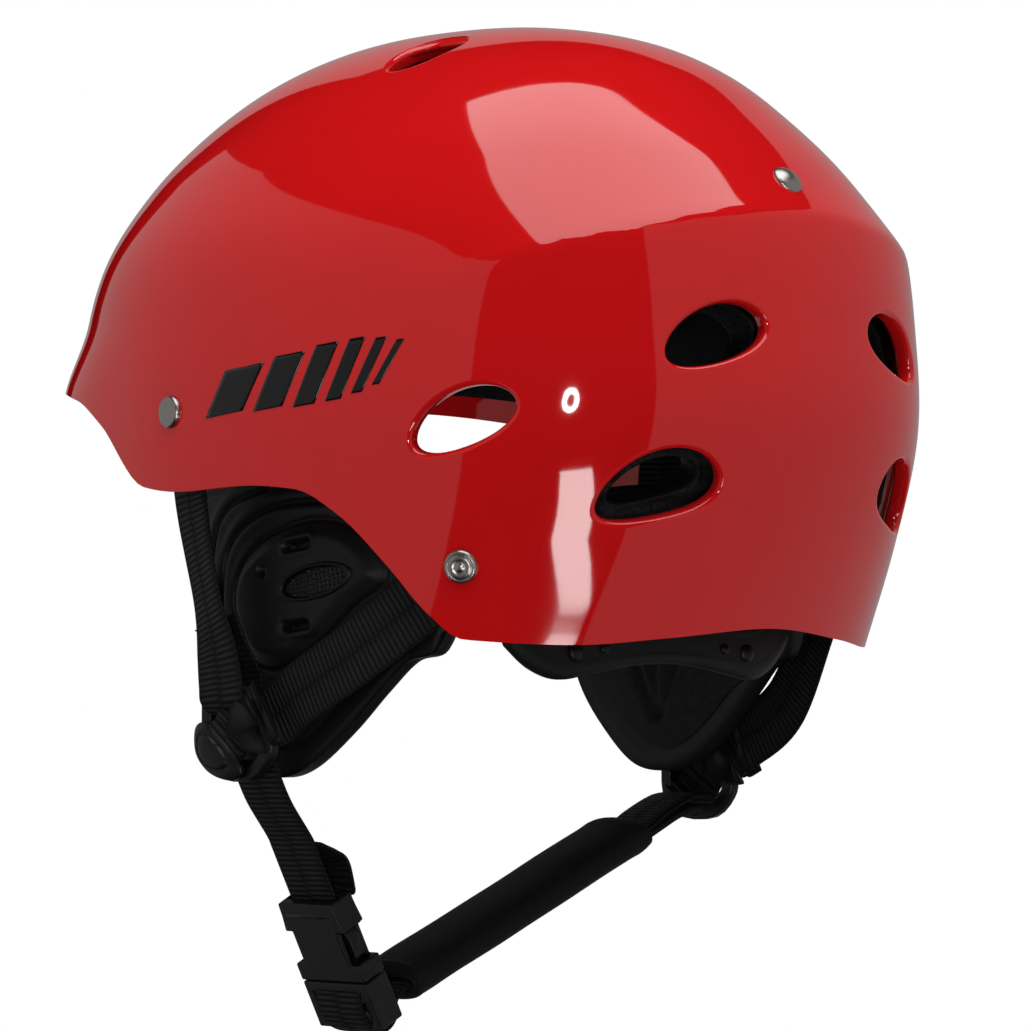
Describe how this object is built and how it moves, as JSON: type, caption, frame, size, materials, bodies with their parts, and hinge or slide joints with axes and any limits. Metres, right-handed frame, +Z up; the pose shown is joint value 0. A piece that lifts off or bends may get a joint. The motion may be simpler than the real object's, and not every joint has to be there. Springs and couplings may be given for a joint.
{
  "type": "water sports helmet",
  "caption": "Hard-shell water sports helmet with vents, foam liner, ear pads, nape cradle and a buckled chin strap, for head protection on moving water",
  "frame": {"origin": "middle of the crown pad's flat lower face, where the top of the head touches", "axes": "+Z up, -Y the front, +X the wearer's left"},
  "size_m": [0.224, 0.2891, 0.3071],
  "materials": {
    "shell_red": "glossy moulded thermoplastic, deep red",
    "foam_black": "closed-cell foam, fine pores",
    "pad_fabric": "brushed lining over foam",
    "webbing_black": "ribbed woven webbing",
    "plastic_black": "satin moulded nylon",
    "rivet_metal": "satin plated steel",
    "ear_foam": "moulded soft foam, matt",
    "grille_black": "perforated moulded plastic"
  },
  "bodies": {
    "helmet": {"outer_shell": "shell_red", "foam_liner": "foam_black", "crown_pad": "pad_fabric", "front_pad": "pad_fabric", "rear_pad": "pad_fabric", "left_pad": "pad_fabric", "right_pad": "pad_fabric", "front_rivet_left": "rivet_metal", "front_rivet_washer_left": "rivet_metal", "front_rivet_right": "rivet_metal", "front_rivet_washer_right": "rivet_metal", "side_rivet_left": "rivet_metal", "side_rivet_washer_left": "rivet_metal", "side_rivet_right": "rivet_metal", "side_rivet_washer_right": "rivet_metal", "rear_rivet": "rivet_metal", "rear_rivet_washer": "rivet_metal", "front_strap_left": "webbing_black", "rear_strap_left": "webbing_black", "divider_left": "plastic_black", "ear_pad_left": "ear_foam", "ear_lining_left": "pad_fabric", "ear_grille_left": "grille_black", "nape_hanger_left": "plastic_black", "nape_pin_left": "rivet_metal", "front_strap_right": "webbing_black", "rear_strap_right": "webbing_black", "divider_right": "plastic_black", "ear_pad_right": "ear_foam", "ear_lining_right": "pad_fabric", "ear_grille_right": "grille_black", "nape_hanger_right": "plastic_black", "nape_pin_right": "rivet_metal"},
    "chin_strap": {"left_chin_webbing": "webbing_black", "right_chin_webbing": "webbing_black", "buckle_male": "plastic_black", "chin_sleeve": "pad_fabric"},
    "buckle_socket": {"buckle_female": "plastic_black"},
    "front_latch": {"latch_arm_front": "plastic_black"},
    "rear_latch": {"latch_arm_rear": "plastic_black"},
    "left_lever": {"divider_lever_left": "plastic_black"},
    "right_lever": {"divider_lever_right": "plastic_black"},
    "nape_band": {"nape_cradle": "ear_foam", "nape_pad": "pad_fabric"}
  },
  "joints": [
    {"name": "chin_strap_swing", "type": "hinge", "parent": "helmet", "child": "chin_strap", "pos_m": [0.094, 0.0035, -0.2045], "axis": [0.9993, 0, 0.0372], "range_deg": [-25, 30]},
    {"name": "buckle_release", "type": "slide", "parent": "chin_strap", "child": "buckle_socket", "axis": [0.4602, 0, 0.8878], "range_m": [0, 0.018]},
    {"name": "front_latch_squeeze", "type": "hinge", "parent": "chin_strap", "child": "front_latch", "pos_m": [0.05987, -0.0047, -0.26299], "axis": [-0.8878, 0, 0.4602], "range_deg": [0, 6], "stiffness_Nm_per_rad": 0.05},
    {"name": "rear_latch_squeeze", "type": "hinge", "parent": "chin_strap", "child": "rear_latch", "pos_m": [0.05987, 0.0117, -0.26299], "axis": [0.8878, 0, -0.4602], "range_deg": [0, 6], "stiffness_Nm_per_rad": 0.05},
    {"name": "left_divider_lever", "type": "hinge", "parent": "helmet", "child": "left_lever", "pos_m": [0.1022, -0.0155, -0.196], "axis": [0, 0, -1], "range_deg": [0, 70]},
    {"name": "right_divider_lever", "type": "hinge", "parent": "helmet", "child": "right_lever", "pos_m": [-0.1022, -0.012, -0.211], "axis": [0, 0, 1], "range_deg": [0, 70]},
    {"name": "nape_cradle_tilt", "type": "hinge", "parent": "helmet", "child": "nape_band", "pos_m": [0, 0.0735, -0.148], "axis": [1, 0, 0], "range_deg": [-8, 8]}
  ]
}
